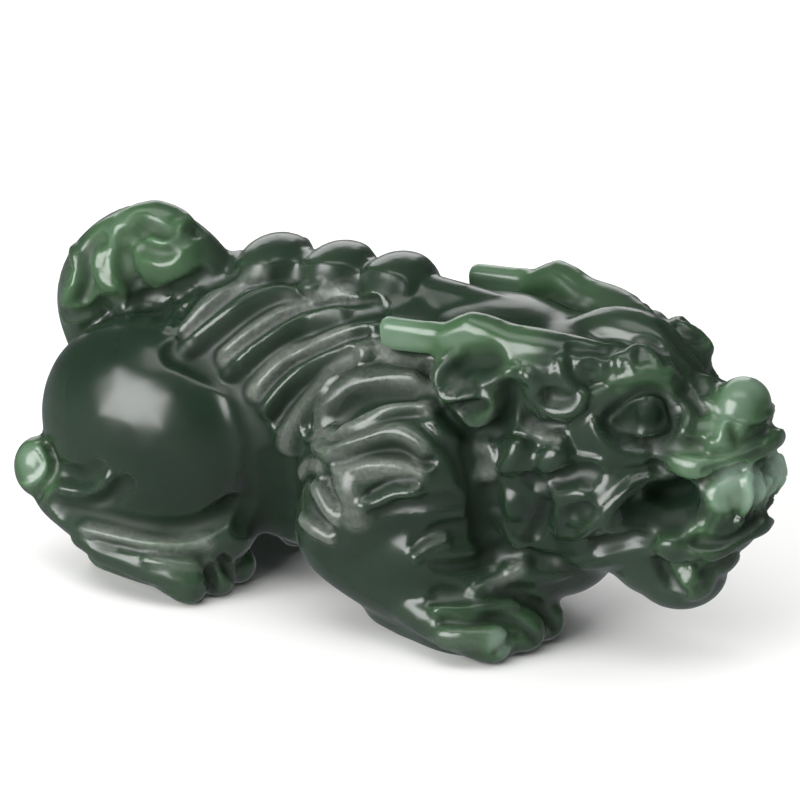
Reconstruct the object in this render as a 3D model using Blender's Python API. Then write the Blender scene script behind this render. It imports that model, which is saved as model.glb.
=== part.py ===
"""Crouching mythical beast, carved from one block of dark green nephrite.

Lengths are in millimetres until the last step turns them into metres. +X runs from tail to nose, -Y is the
beast's right side and +Z is up; the soles stand on z = 0. Unless a call says both=False, what is placed at
-Y is mirrored to +Y.
"""
import math

import bmesh
import bpy
import numpy as np
from mathutils import Euler, Matrix, Vector
from mathutils.bvhtree import BVHTree

MM = 0.001

# Skin drawn over the clay: body first, then everything that stands on it
BODY_VOXEL = 0.9
BODY_SMOOTH = 6
FORM_VOXEL = 0.6
FORM_SMOOTH = 3
NORMAL_BLUR = 8
TRIANGLES = 10500

# Body
TRUNK_HALF_WIDTH = 14.5
HAUNCH = (-33.8, -9.5, 20.7)
HAUNCH_RADII = (16.3, 11, 15)
SHOULDER = (6, -9, 23)
SHOULDER_RADII = (13, 10.5, 13)
FAR_PAW_BACK = 9
SPINE_KNOBS = ((-20.7, 42.5, 3.6), (-11.2, 43, 3.7), (-2.6, 43.2, 3.5))

# Feet
HIND_TOE = 2.7
FRONT_TOE = 3
SOLE_HEIGHT = 2.1

# Head
EYE = (36.6, -6.3, 34.2)
NOSE = (47, 0, 35.4)
HORN_ROD = 1.5
BEARD = (42.2, -3.5, 12.2)

NEAR, FAR = -1, 1
LEGS = ((NEAR, 0), (FAR, FAR_PAW_BACK))


def through(points, steps=6):
    """Smooth rows of (x, y, z, radius) through the given ones, as a Catmull-Rom curve."""
    p = np.array(points, float)
    p = np.vstack([2 * p[0] - p[1], p, 2 * p[-1] - p[-2]])
    t = np.linspace(0, 1, steps, endpoint=False)[:, None]
    spans = [0.5 * (2 * b + (c - a) * t + (2 * a - 5 * b + 4 * c - d) * t ** 2
                    + (3 * b - a - 3 * c + d) * t ** 3)
             for a, b, c, d in zip(p, p[1:], p[2:], p[3:])]
    return np.vstack(spans + [p[-2:-1]])


def rounded(path):
    """The path with a half-round cap at each end."""
    caps = []
    for end, inner in ((path[0], path[1]), (path[-1], path[-2])):
        outward = (end[:3] - inner[:3]) / np.linalg.norm(end[:3] - inner[:3])
        caps.append([np.append(end[:3] + outward * end[3] * math.sin(a), end[3] * max(math.cos(a), 0.03))
                     for a in (0.5, 1.0, 1.35, 1.57)])
    return np.vstack([caps[0][::-1], path, caps[1]])


def with_radius(points, radius):
    """Rows of (x, y, z, radius); the rows that lack a radius get the given one."""
    return [(*p, radius) if len(p) == 3 else p for p in points]


def evaluated(data, kind=None, **settings):
    """Mesh of the data, after one modifier if a kind is given."""
    obj = bpy.data.objects.new('work', data)
    bpy.context.scene.collection.objects.link(obj)
    if kind:
        modifier = obj.modifiers.new(kind, kind)
        for name, value in settings.items():
            setattr(modifier, name, value)
    bpy.context.view_layer.update()
    mesh = bpy.data.meshes.new_from_object(obj.evaluated_get(bpy.context.evaluated_depsgraph_get()))
    bpy.data.objects.remove(obj)
    return mesh


def skin(mesh, voxel, smooth):
    """One closed, softened skin around everything in the mesh."""
    mesh = evaluated(mesh, 'REMESH', mode='VOXEL', voxel_size=voxel)
    return evaluated(mesh, 'SMOOTH', iterations=smooth, factor=0.5)


def vectors(items, attribute):
    flat = np.empty(len(items) * 3, np.float32)
    items.foreach_get(attribute, flat)
    return flat.reshape(-1, 3).astype(float)


def blurred(mesh, values, rounds):
    """Values at the vertices, evened out along the mesh's edges."""
    ends = np.empty(len(mesh.edges) * 2, np.int32)
    mesh.edges.foreach_get('vertices', ends)
    here = ends.reshape(-1, 2).ravel()
    there = ends.reshape(-1, 2)[:, ::-1].ravel()
    count = np.bincount(here, minlength=len(values))
    flat = values.reshape(len(values), -1)
    for _ in range(rounds):
        mean = [np.bincount(here, column[there], len(values)) / count for column in flat.T]
        flat = (flat + np.stack(mean, 1)) / 2
    return flat.reshape(values.shape)


class Clay:
    """Balls and ropes that a skin is drawn over."""

    def __init__(self, base=None):
        self.bm = bmesh.new()
        self.paths = []
        if base:
            self.bm.from_mesh(base)

    def ball(self, centre, radii, turn=(0, 0, 0), both=True):
        radii = radii if hasattr(radii, '__len__') else (radii,) * 3
        place = Matrix.LocRotScale(Vector(centre), Euler([math.radians(a) for a in turn]), Vector(radii))
        flip = Matrix.Diagonal((1, -1, 1, 1))
        for matrix in [place] + [flip @ place @ flip] * (both and centre[1] != 0):
            bmesh.ops.create_icosphere(self.bm, subdivisions=3, radius=1, matrix=matrix)

    def rope(self, *points, radius=None, both=True, blunt=False):
        path = through(with_radius(points, radius))
        path = path if blunt else rounded(path)
        self.paths.append(path)
        if both and np.abs(path[:, 1]).max() > 0:
            self.paths.append(path * [1, -1, 1, 1])

    def mesh(self):
        curve = bpy.data.curves.new('ropes', 'CURVE')
        curve.dimensions = '3D'
        curve.bevel_depth = 1
        curve.use_fill_caps = True
        for path in self.paths:
            spline = curve.splines.new('POLY')
            spline.points.add(len(path) - 1)
            spline.points.foreach_set('co', np.column_stack([path[:, :3], np.ones(len(path))]).ravel())
            spline.points.foreach_set('radius', path[:, 3])
        self.bm.from_mesh(evaluated(curve))
        mesh = bpy.data.meshes.new('clay')
        self.bm.to_mesh(mesh)
        self.bm.free()
        return mesh


class Stone:
    """A skinned mesh that ridges are left standing on and grooves are ground into."""

    def __init__(self, mesh):
        self.mesh = mesh
        self.co = vectors(mesh.vertices, 'co')
        self.normal = blurred(mesh, vectors(mesh.vertex_normals, 'vector'), NORMAL_BLUR)
        faces = [tuple(p.vertices) for p in mesh.polygons]
        self.tree = BVHTree.FromPolygons([tuple(v) for v in self.co], faces)
        self.rise = np.zeros(len(self.co))
        self.sink = np.zeros(len(self.co))
        self.frosted = np.zeros(len(self.co))

    def profile(self, radius, points, both):
        """Vertices near the path, with 1 on the path falling smoothly to 0 at its radius."""
        path = through(with_radius(points, radius))
        for row in path:
            row[:3] = self.tree.find_nearest(Vector(row[:3]))[0]
        for p in [path, path * [1, -1, 1, 1]][:1 + both]:
            low = (p[:, :3] - p[:, 3:]).min(0)
            high = (p[:, :3] + p[:, 3:]).max(0)
            near = np.flatnonzero(((self.co >= low) & (self.co <= high)).all(1))
            yield near, np.clip(1 - closeness(self.co[near], p) ** 3, 0, 1) ** 2

    def ridge(self, height, radius, *points, both=True):
        for near, shape in self.profile(radius, points, both):
            self.rise[near] = np.maximum(self.rise[near], height * shape)

    def groove(self, depth, radius, *points, both=True):
        for near, shape in self.profile(radius, points, both):
            self.sink[near] = np.maximum(self.sink[near], depth * shape)

    def carved(self):
        moved = self.co + self.normal * (self.rise - self.sink)[:, None]
        self.mesh.vertices.foreach_set('co', moved.astype(np.float32).ravel())
        self.mesh.update()
        return self.mesh


def closeness(co, path):
    """Distance from the path over its radius there, for each point."""
    best = np.full(len(co), 9.0)
    for a, b in zip(path, path[1:]):
        along = b[:3] - a[:3]
        t = np.clip((co - a[:3]) @ along / max(along @ along, 1e-9), 0, 1)
        away = np.linalg.norm(co - a[:3] - t[:, None] * along, axis=1)
        best = np.minimum(best, away / (a[3] + t * (b[3] - a[3])))
    return best


# Masses: the body without its details

def trunk(clay):
    clay.ball((-20, 0, 24.5), (21, TRUNK_HALF_WIDTH, 18.5))
    clay.ball((-2, 0, 25), (19, TRUNK_HALF_WIDTH, 19))
    clay.ball((12, 0, 26), (14, 12.5, 16.5))
    clay.ball((-13, 0, 13.6), (17, 10.5, 8.8))
    clay.ball((14, 0, 18), (16, 12, 11))
    clay.ball((20, 0, 12), (9, 8, 7.5))
    clay.ball((16, -5, 9), (8, 6, 7))


def hindquarters(clay):
    clay.ball(HAUNCH, HAUNCH_RADII)
    clay.ball((-36, 0, 26), (13, 10, 11))
    clay.ball((-27, -11, 9), (9, 6, 6.5))
    clay.rope((-44.5, -14.5, 11.2, 4.6), (-37, -15.5, 8.4, 4.8), (-30, -16, 6.6, 4.6), (-26, -15.5, 5.4, 4))
    clay.rope((-41, -10.5, SOLE_HEIGHT, 3), (-34, -11.5, SOLE_HEIGHT, 3.4), (-27, -12.5, SOLE_HEIGHT, 3.2))


def forequarters(clay):
    clay.ball(SHOULDER, SHOULDER_RADII)
    for side, back in LEGS:
        clay.rope((4 - back / 3, 11 * side, 24, 9.5), (0.6 - back / 3, 12.9 * side, 18.6, 8.6),
                  (-3.4 - back / 2, 13 * side, 13.2, 6.5), (2.2 - back, 12 * side, 9.8, 6.8),
                  (9.4 - back, 12.2 * side, 7.2, 5.9), (15 - back, 11.8 * side, 6, 4.8), both=False)
        clay.ball((7 - back, 11.4 * side, 13), (9.5, 8, 8), both=False)
        clay.rope((2 - back, 11.5 * side, 3.4, 3), (6 - back, 11 * side, SOLE_HEIGHT, 3),
                  (13 - back, 12.3 * side, SOLE_HEIGHT, 3.5), (18.5 - back, 11 * side, SOLE_HEIGHT, 3.2), both=False)


def neck_and_skull(clay):
    clay.ball((20, 0, 26), (13, 12.5, 15))
    clay.ball((26, 0, 18.5), (13, 9, 9))
    clay.ball((13, 0, 37.6), (12, 9.5, 6))
    clay.ball((30, 0, 31), (12, 10.8, 10.8))
    clay.ball((24, 0, 35), (11, 12.2, 7.5))
    clay.ball((30, 0, 23), (12, 11.8, 9))
    clay.ball((35, -3.5, 33), (6.5, 5, 6.5))
    clay.ball((41, 0, 31), (9, 8, 5.5))
    clay.ball((41.5, 0, 25), (8.8, 7.8, 7))
    clay.ball((40, 0, 19.5), (9.5, 8, 6))
    clay.ball((36, 0, 14), (7.5, 7.2, 6.5))


# Forms: what stands on the body

def spine(clay):
    for x, z, radius in SPINE_KNOBS:
        clay.ball((x, 0, z - 0.6), (5, 6.5, radius + 0.6))
    clay.rope((-28, 0, 38.5), (-20, 0, 40.4), (-10, 0, 41.2), (3, 0, 40.5), (14, 0, 39.5), radius=4)


def tail(clay):
    clay.rope((-27, -2, 39, 2.5), (-32, -3, 42, 4.2), (-38.5, -3, 43.3, 4.8), (-45, -3, 39.5, 4.6),
              (-48, -3, 33, 4.2), (-47.5, -2, 25, 3), both=False)
    clay.ball((-39.5, -2.5, 37.5), (6.5, 4, 7), both=False)
    clay.ball((-34.2, -4.8, 42.2), (5.6, 4, 5), both=False)
    clay.ball((-46.6, -4.5, 35.5), (3.6, 4, 6.6), (0, 25, 0), both=False)
    clay.ball((-41, -5.2, 38.6), (3.8, 3.8, 5.6), (0, -15, 0), both=False)


def hind_feet(clay):
    clay.ball((-48, -15.5, 14), (3.4, 3.2, 4.2))
    for heel, arch, tip in (((-36, -17, 6), (-29, -17.4, 4.6), (-24.5, -16.8, 2.6)),
                            ((-33, -14.5, 7.5), (-27, -13.8, 5.3), (-22.8, -12.4, 2.6)),
                            ((-30, -10.5, 7.5), (-26, -9, 5.2), (-22.8, -7.5, 2.6))):
        clay.rope(heel, arch, tip, radius=HIND_TOE)


def front_feet(clay):
    for side, back in LEGS:
        for toe in (((4, 14, 7.5), (10, 15.8, 5.6), (15, 16.2, 4.4), (19, 14.6, 2.8)),
                    ((9, 13.5, 8.5), (16, 12, 6.4), (21, 9.4, 3)),
                    ((12, 9.5, 9), (17, 7.4, 6.6), (21.4, 5, 3))):
            clay.rope(*((x - back, y * side, z) for x, y, z in toe), radius=FRONT_TOE, both=False)


def brow_and_horns(clay):
    clay.rope((24, 0, 40, 3), (29, 0, 41.6, 3.6), (34, 0, 41, 3.6), (37.5, 0, 38, 3.2), (40.5, 0, 34.5, 3.2))
    clay.rope((29, -6.5, 40, 2.6), (34, -5.5, 39.8, 2.8), (37.4, -4.2, 38.6, 2.6), (38.6, -3.2, 35.5, 2))
    for drop in (0, 1.4):
        clay.rope((1.6 + drop / 4, -11.4, 41.2 - drop), (6, -11.6, 41.5 - drop), (12, -11.6, 42 - drop),
                  radius=HORN_ROD, blunt=True)
    clay.rope((11, -11.4, 41.4, 2), (14.8, -11, 43, 2.3), (19, -10, 41.6, 2.7), (24, -9, 41.2, 2.8),
              (29.5, -7, 40.4, 2.6))
    clay.ball((21, -9.8, 39), (8, 3.6, 3.6))
    clay.ball((14.5, -11.2, 43.4), 2)


def ears(clay):
    clay.ball((16.6, -11.4, 36.3), (7.8, 2.9, 7.2))
    clay.ball((27.3, -10.4, 36.4), (3, 1.8, 2.8))


def eyes(clay):
    clay.ball(EYE, (5, 3, 4.6), turn=(0, 0, 20))


def muzzle(clay):
    clay.ball(NOSE, (3.6, 4, 3.6))
    clay.ball((42.5, 0, 33.8), (5.5, 4.8, 3.8))
    clay.ball((47, -3.6, 32.8), (2.6, 2.2, 2.2))
    clay.ball((43.6, -6.8, 29), (3.4, 2, 2))
    clay.rope((42, -6.8, 29, 1.9), (46.8, -5.6, 30, 1.8), (49.8, -3.2, 31, 1.7), (50.8, 0, 31.5, 1.7))


def jaw(clay):
    clay.rope((41, -7, 17.6, 1.6), (45.5, -5.6, 17.6, 1.8), (48.6, -3, 19.8, 1.7), (49.6, 0, 20, 1.7))
    clay.ball((47, 0, 20.5), (4, 5, 3.2))
    clay.rope((46.2, -4.6, 25.5, 2.8), (48.4, -2.6, 25.5, 2.8), (48.8, 0, 25.5, 2.8))
    clay.rope((49.4, -3, 23, 1), (49.8, -3.2, 27.5, 1.2))
    clay.ball((38.5, 0, 11.5), (6.2, 6, 5))
    clay.ball((45, 0, 15.4), (3.4, 5, 4))
    clay.ball(BEARD, 2.9, both=False)


def cheeks(clay):
    clay.ball((21.5, -11.2, 27.7), (3.2, 2.4, 3.4))
    clay.ball((26.3, -10.7, 28), (2.8, 1.8, 2.5))
    clay.ball((20, -10.8, 21), (2.8, 1.9, 2.8))
    clay.ball((31, -9.2, 22.3), (4, 2.6, 3.6))


# Carving: relief on the surface

def carve_spine(stone):
    stone.groove(0.7, 2.0, (-31.5, -6.5, 38), (-27, -5.5, 40), (-22, -6, 42), (-17, -4.5, 42.5),
                 (-10.5, -5.5, 44), (-5, -5, 44.5), (-0.5, -5, 44))


def carve_ribs(stone):
    stone.ridge(0.7, 2.0, (-28, -10, 35.5), (-25.5, -7.5, 39), (-23, -6, 41), (-19.5, -6, 43))
    stone.ridge(1.3, 1.7, (-27, -12.5, 33.5), (-25, -11, 35), (-22, -9.5, 38), (-20, -7.5, 40),
                (-17, -6, 41), (-12.5, -6, 42))
    stone.groove(0.9, 1.9, (-24.5, -12.5, 33.5), (-20.5, -10.5, 37), (-17, -8, 39.5), (-14, -6, 40.5),
                 (-9.5, -6, 42.5))
    stone.ridge(0.8, 1.9, (-21.5, -12.5, 33), (-19.5, -11.5, 35.5), (-17.5, -10, 37.5), (-14.5, -7.5, 39.5),
                (-11, -6, 41), (-7.5, -4.5, 42))
    stone.ridge(1.3, 1.7, (-20.5, -13, 31.5), (-18.5, -12.5, 33.5), (-15.5, -11, 36), (-13.5, -9, 37.5),
                (-11.5, -7.5, 38.5), (-7, -7.5, 40))
    stone.groove(0.9, 2.0, (-18, -13.5, 30.5), (-15, -11.5, 34.5), (-11.5, -9, 36.5), (-7, -8.5, 39.5),
                 (-2, -7.5, 41))
    stone.ridge(0.9, 2.0, (-16.5, -13.5, 29.5), (-14.5, -12.5, 32.5), (-12.5, -10.5, 34.5), (-9, -10, 36.5),
                (-5.5, -9.5, 38.5), (-1.5, -8.5, 40))
    stone.ridge(1.3, 1.8, (-14.5, -13.5, 27.5), (-13, -13, 30), (-10.5, -11.5, 32.5), (-7, -11.5, 35),
                (-3.5, -11, 37))
    stone.groove(1.0, 1.8, (-13, -13.5, 27), (-10, -12.5, 31), (-6.5, -12, 34), (-3, -11.5, 36))


def carve_wings(stone):
    stone.ridge(1.1, 1.9, (-12, -13, 22.5), (-11, -13, 25.5), (-9.5, -13, 28.5), (-7, -12.5, 32),
                (-4, -12, 35), (-1.5, -11, 37))
    stone.ridge(1.2, 1.1, (-7, -14, 25), (-8.5, -13.5, 25.5), (-9, -13, 27.5), (-8, -13, 29.5),
                (-5.5, -13, 32))
    stone.ridge(1.1, 2.3, (-5.5, -14, 27), (-5.5, -13.5, 29.5), (-4, -13.5, 31.5), (-1.5, -13, 33.5),
                (2, -12.5, 34.5), (5.5, -12.5, 35), (9, -12, 35))
    stone.groove(1.6, 2.2, (-2, -15.5, 29), (-1, -15, 31), (2, -15, 33), (5.5, -14.5, 34), (8.5, -13.5, 34))
    stone.ridge(0.8, 1.5, (-6, -14, 25.5), (-0.5, -17.5, 28.5), (3, -17, 30.5), (5.5, -16, 32.5),
                (8, -15, 33), (10, -14.5, 33))
    stone.ridge(1.5, 2.0, (-5, -15.5, 25), (-1, -19, 26), (2, -19, 28), (5, -18, 29.5), (7.5, -17.5, 30),
                (9.5, -17.5, 29.5), (11, -17.5, 28.5))
    stone.groove(1.1, 1.6, (0.5, -19.5, 25.5), (4.5, -19.5, 27.5), (8, -18.5, 28), (11.5, -18, 27))
    stone.ridge(1.0, 1.6, (9, -13.5, 34), (10.5, -15, 32.5), (12.5, -15, 31), (14, -15, 30))
    stone.groove(0.9, 1.3, (11, -13.5, 33.5), (13, -14, 32), (14.5, -14.5, 30))


def carve_forelegs(stone):
    stone.ridge(0.8, 1.7, (0, -20, 24.5), (4.5, -20, 26), (8.5, -19, 26), (11.5, -18, 25.5))
    stone.ridge(0.7, 2.6, (1.5, -20.5, 23), (2, -21, 21), (3, -21, 19))
    stone.groove(1.0, 1.1, (5, -20.5, 22), (7, -19.5, 23.5), (10, -18.5, 24.5))
    stone.ridge(1.3, 1.3, (4, -20.5, 20.5), (6.5, -20, 21.5), (8, -19.5, 22.5), (10.5, -18.5, 23))
    stone.groove(0.6, 1.8, (6, -20, 20), (8.5, -19, 21), (12.5, -18, 21.5), (16.5, -15, 22))
    stone.ridge(0.7, 1.5, (-3.5, -19.5, 21), (-1.5, -20.5, 19.5), (0.5, -21, 18))
    stone.groove(1.0, 1.1, (-2, -20, 23), (-1, -20.5, 21.5), (1, -21, 20))
    stone.groove(1.0, 1.2, (-6, -17, 20), (-5.5, -18.5, 19), (-3.5, -20, 17.5), (-1, -20.5, 16.5))
    stone.ridge(1.0, 1.2, (10.5, -18.5, 14), (12, -17.5, 15.5), (13.5, -16.5, 16))
    stone.ridge(0.9, 1.3, (17, -14.5, 9), (18, -11.5, 9.5), (20, -10, 10.5), (21, -9, 12))
    stone.groove(0.6, 1.8, (13, -17, 8.5), (16.5, -15, 8.5), (19, -12, 8.5), (21, -9.5, 8.5))
    stone.ridge(0.9, 1.2, (13.5, -18, 7), (16.5, -16, 7.5), (18.5, -14, 7.5), (20.5, -11, 7))
    stone.groove(1.0, 1.0, (20.5, -10, 7.5), (22, -8.5, 6.5), (23, -7, 5), (24, -6, 2.5))
    stone.ridge(0.8, 1.9, (15, -19, 4), (18.5, -17.5, 4.5), (21, -15.5, 4.5))


def carve_mane(stone):
    stone.groove(1.4, 3.0, (16, -14, 28), (17, -14, 24.5), (17, -12.5, 18.5), (17.5, -11, 14.5))
    stone.groove(0.9, 1.8, (14, -15.5, 29), (15.5, -15.5, 26.5), (16.5, -15, 23))
    stone.ridge(0.9, 1.3, (17.5, -12.5, 28.5), (18, -12.5, 26.5), (17.5, -13.5, 24))
    stone.ridge(0.8, 1.3, (18.5, -11.5, 18.5), (19.5, -11, 16), (21, -10, 15))
    stone.groove(0.8, 1.6, (18, -10.5, 13), (20.5, -9.5, 13.5), (23, -8, 12.5), (26.5, -6, 11.5))


def carve_hind_legs(stone):
    stone.groove(1.3, 2.0, (-42, -19.5, 10.5), (-36, -19.5, 10.5), (-30.5, -19, 10), (-26, -17.5, 10),
                 (-22.5, -15.5, 11), (-20, -13, 13))
    stone.ridge(0.8, 2.0, (-39.5, -19, 6.5), (-36.5, -19.5, 5.5), (-33, -20, 5), (-29, -20, 4.5),
                (-25, -19.5, 4.5), (-23, -18, 4))
    stone.groove(1.0, 1.0, (-22.5, -16.5, 6.5), (-22, -15, 4), (-22, -14.5, 1.5))
    stone.groove(1.0, 1.0, (-21, -14, 6), (-20.5, -12.5, 3.5), (-20.5, -11.5, 2))
    stone.ridge(0.9, 1.4, (-42.5, -18.5, 13), (-39.5, -18.5, 13), (-36.5, -19, 14), (-34.5, -20, 16.5))
    stone.groove(0.8, 1.8, (-43, -19, 11), (-38.5, -19, 11.5), (-35, -19, 13.5), (-32, -20, 16))
    stone.groove(0.6, 1.8, (-42.5, -18, 15), (-38.5, -19, 16), (-36, -20, 17.5))


def carve_haunches(stone):
    stone.groove(1.1, 2.8, (-27.5, -13.5, 33), (-23, -13, 32), (-18.5, -13.5, 30), (-16.5, -14, 26.5),
                 (-15.5, -14, 22), (-17, -12.5, 15.5), (-18.5, -12, 11))
    stone.groove(1.6, 4.5, (-14, -13, 20), (-14.5, -12, 15.5), (-15.5, -9.5, 10))


def carve_tail(stone):
    stone.ridge(0.8, 2.0, (-40, -7.5, 44.5), (-40.5, -6.5, 46), (-39, -4.5, 47.5), (-36.5, -3, 48),
                (-33.5, -3, 47), (-31.5, -5, 46.5), (-32, -7, 45.5), both=False)
    stone.groove(1.5, 1.6, (-37.5, -7, 45.5), (-36.5, -6.5, 46.5), (-35, -6.5, 46.5), (-33, -7, 46.5),
                 both=False)
    stone.groove(1.0, 1.4, (-36.5, -8, 44), (-33, -8.5, 44), (-31.5, -7, 45.5), (-31, -4, 46), both=False)
    stone.groove(1.2, 1.8, (-39, -7.5, 44.5), (-39.5, -7.5, 42.5), (-39, -8, 40.5), (-38, -7.5, 38.5),
                 both=False)
    stone.groove(1.1, 1.6, (-43.5, -7, 43.5), (-45, -7, 42), (-45, -7.5, 39.5), (-45, -8, 37.5),
                 (-45.5, -8.5, 35.5), both=False)
    stone.ridge(0.8, 1.3, (-48, -6, 41), (-46.5, -7.5, 39.5), (-46.5, -8, 37), (-48, -8, 35), both=False)
    stone.groove(0.9, 1.4, (-38, -7.5, 36.5), (-36, -6, 37), (-31.5, -7, 39.5), (-28.5, -5.5, 41),
                 both=False)


def carve_ears(stone):
    stone.groove(2.2, 3.0, (13.5, -14, 38.5), (15.5, -14, 39.5), (18, -13.5, 40))
    stone.groove(1.3, 1.9, (14, -14, 36.5), (16, -14, 36.5))
    stone.ridge(1.0, 1.2, (17, -14, 37), (19, -14, 38.5), (21.5, -13.5, 39.5))
    stone.groove(1.6, 1.5, (14.5, -14, 33.5), (17, -14, 34.5))
    stone.groove(1.8, 1.8, (21, -13.5, 37), (21, -13.5, 34.5), (19.5, -13, 31.5), (16.5, -13, 30),
                 (14.5, -14, 30.5), (12, -14, 32.5))
    stone.groove(1.2, 1.6, (7.5, -10, 36), (9.5, -13, 34.5), (12, -14.5, 32), (14, -14.5, 30))


def carve_temples(stone):
    stone.groove(1.0, 1.6, (26.5, -12, 36.5), (28.5, -12, 36.5))
    stone.groove(0.9, 1.3, (22, -13.5, 36.5), (22.5, -13, 34), (24, -11, 32), (27, -11, 32.5))
    stone.ridge(0.8, 1.3, (23.5, -13, 39), (24.5, -13, 38), (24, -12.5, 36.5))


def carve_eyes(stone):
    stone.ridge(0.8, 1.3, (27, -11, 33.5), (29.5, -11, 35.5), (31.5, -9, 37), (34.5, -8, 39),
                (37.5, -7, 40), (39.5, -5, 39.5), (40.5, -3.5, 37), (42, -5, 35), (42.5, -7, 33))
    stone.groove(1.9, 3.0, (35, -9.5, 34), (36.5, -9.5, 35), (38.5, -8.5, 35), (39, -8, 35))
    stone.ridge(1.2, 2.2, (38, -9, 35), (38.5, -8.5, 35))


def carve_muzzle(stone):
    stone.groove(0.8, 1.3, (40, -4.5, 39), (41, -3.5, 36.5), (43.5, -4.5, 35.5))
    stone.ridge(0.9, 1.2, (46, -6.5, 32), (47, -6, 32.5), (47.5, -5, 34.5))
    stone.groove(0.9, 1.4, (38.5, -8, 30.5), (42, -7.5, 31.5), (45, -7, 31.5))
    stone.groove(0.9, 1.2, (38.5, -7.5, 28.5), (39.5, -7, 27), (42, -7.5, 26.5))


def carve_mouth(stone):
    stone.groove(4.2, 3.0, (40, -7.5, 24), (42, -7.5, 24.5))
    stone.groove(1.8, 2.8, (37.5, -9, 22), (40, -7.5, 21.5), (42, -7.5, 22))
    stone.groove(1.1, 1.0, (45, -7, 27), (47.5, -6, 28.5), (50, -5, 29.5))
    stone.groove(1.2, 1.0, (51, -3.5, 28.5), (51, -3.5, 26), (51, -3.5, 24), (50, -3.5, 21.5))
    stone.groove(1.2, 1.2, (44.5, -7, 19), (47.5, -6, 19), (49.5, -4, 20), (50.5, -1.5, 21.5))


def carve_cheeks(stone):
    stone.ridge(1.0, 1.4, (20, -13, 26), (21.5, -13.5, 27.5), (22, -13, 29.5))
    stone.ridge(1.0, 2.0, (25.5, -12.5, 27.5), (27, -12, 29))
    stone.ridge(1.2, 1.4, (17.5, -12.5, 28), (18.5, -12.5, 26.5), (18, -13, 24.5))
    stone.ridge(0.8, 1.4, (23, -11.5, 31.5), (25, -11, 30.5), (27, -11, 30.5))
    stone.ridge(0.9, 1.2, (33.5, -10.5, 20), (34, -11, 22.5), (36, -9.5, 25), (37, -8.5, 26),
                (39.5, -7.5, 26.5))
    stone.groove(0.9, 1.9, (29, -11, 21), (31, -11.5, 22))
    stone.groove(1.2, 2.6, (23.5, -11.5, 24), (25.5, -11, 24.5), (28, -11, 25.5))
    stone.ridge(0.9, 1.9, (20.5, -9.5, 10), (24, -7, 10.5), (29.5, -6.5, 13), (34, -7, 15),
                (37.5, -7, 16.5), (41.5, -8, 18.5))
    stone.groove(0.9, 1.8, (31, -8, 16), (35, -8.5, 18), (38, -7.5, 19))
    stone.groove(0.8, 1.5, (23, -12, 25), (25, -11, 23), (24.5, -10.5, 19.5), (22.5, -9.5, 16.5))


def carve_beard(stone):
    stone.groove(1.0, 1.2, (39, -6.5, 15), (40, -6, 12.5), (42, -6, 11))


def shaped():
    """The whole beast as one skin, carved, in millimetres."""
    clay = Clay()
    for mass in (trunk, hindquarters, forequarters, neck_and_skull):
        mass(clay)
    clay = Clay(skin(clay.mesh(), BODY_VOXEL, BODY_SMOOTH))
    for form in (spine, tail, hind_feet, front_feet, brow_and_horns, ears, eyes, muzzle, jaw, cheeks):
        form(clay)
    stone = Stone(skin(clay.mesh(), FORM_VOXEL, FORM_SMOOTH))
    for carve in (carve_spine, carve_ribs, carve_wings, carve_forelegs, carve_mane, carve_hind_legs,
                  carve_haunches, carve_tail, carve_ears, carve_temples, carve_eyes, carve_muzzle,
                  carve_mouth, carve_cheeks, carve_beard):
        carve(stone)
    return stone.carved()


def level_soles(mesh):
    """Cuts the feet flat at z = 0 and closes the cuts."""
    bm = bmesh.new()
    bm.from_mesh(mesh)
    geometry = bm.verts[:] + bm.edges[:] + bm.faces[:]
    cut = bmesh.ops.bisect_plane(bm, geom=geometry, plane_co=(0, 0, 0), plane_no=(0, 0, -1), clear_outer=True)
    rim = [item for item in cut['geom_cut'] if isinstance(item, bmesh.types.BMEdge)]
    bmesh.ops.holes_fill(bm, edges=rim, sides=0)
    bmesh.ops.triangulate(bm, faces=bm.faces)
    bm.to_mesh(mesh)
    bm.free()


def centred(mesh):
    """In metres, with the origin under the middle of the bounds."""
    co = vectors(mesh.vertices, 'co')
    middle = (co.min(0) + co.max(0)) / 2
    mesh.transform(Matrix.Scale(MM, 4) @ Matrix.Translation((-middle[0], -middle[1], 0)))
    return mesh


def nephrite():
    material = bpy.data.materials.new('nephrite')
    material.use_nodes = True
    surface = material.node_tree.nodes['Principled BSDF']
    surface.inputs['Base Color'].default_value = (0.03, 0.065, 0.042, 1)
    surface.inputs['Roughness'].default_value = 0.2
    surface.inputs['Metallic'].default_value = 0
    return material


def main():
    for obj in list(bpy.data.objects):
        bpy.data.objects.remove(obj)
    mesh = shaped()
    mesh = evaluated(mesh, 'DECIMATE', ratio=TRIANGLES / (2 * len(mesh.polygons)))
    level_soles(mesh)
    mesh = centred(mesh)
    mesh.name = 'carved_stone'
    mesh.materials.append(nephrite())
    mesh.shade_smooth()
    bpy.context.scene.collection.objects.link(bpy.data.objects.new('carved_stone', mesh))


main()
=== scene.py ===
"""Looks of the jade beast, carved from one block of dark green nephrite and polished.

The carving is shaped in millimetres. +X runs from tail to nose, -Y is the beast's right side, and the soles
stand on z = 0. Unless a call says both=False, what is placed at -Y is mirrored to +Y.
"""
import math

import bmesh
import bpy
import numpy as np
from mathutils import Euler, Matrix, Vector
from mathutils.bvhtree import BVHTree


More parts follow.
